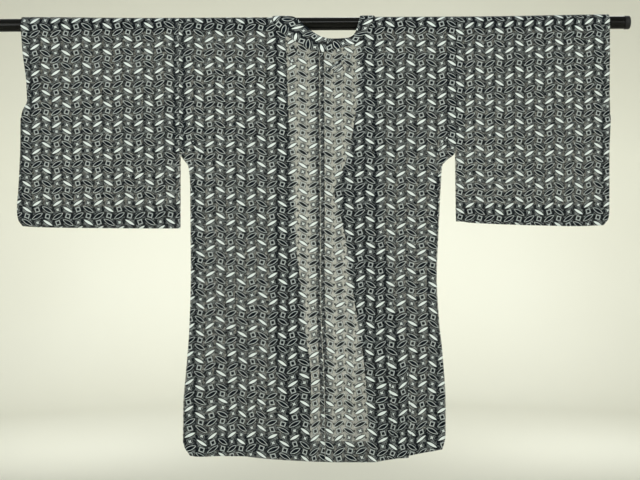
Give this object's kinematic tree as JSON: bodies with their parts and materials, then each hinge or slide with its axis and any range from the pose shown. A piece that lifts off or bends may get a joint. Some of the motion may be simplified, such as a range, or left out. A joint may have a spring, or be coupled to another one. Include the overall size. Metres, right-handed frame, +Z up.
{
  "type": "summer kimono overcoat hung on a rod",
  "caption": "Sheer knee-length kimono overcoat of haori cut, open at the front, hung flat on a round rod through both square sleeves.",
  "frame": {"origin": "on the rod's axis at the middle of the coat's back, where the rod holds the coat", "axes": "+X is the wearer's right, along the rod; +Y is the way the wearer faces, so the back looks towards -Y; +Z is up"},
  "size_m": [1.4206, 0.0366, 0.9863],
  "materials": {
    "navy_gauze": "sheer navy gauze with a small woven repeat of white and navy lenses and squares",
    "collar_gauze": "the same gauze, folded in four layers",
    "black_rod": "gloss black",
    "black_cap": "satin black"
  },
  "bodies": {
    "root": {"body_left": "navy_gauze", "body_right": "navy_gauze", "sleeve_left": "navy_gauze", "sleeve_right": "navy_gauze", "gusset_left": "navy_gauze", "gusset_right": "navy_gauze", "collar": "collar_gauze", "rod": "black_rod", "rod_cap_left": "black_cap", "rod_cap_right": "black_cap"}
  },
  "joints": []
}
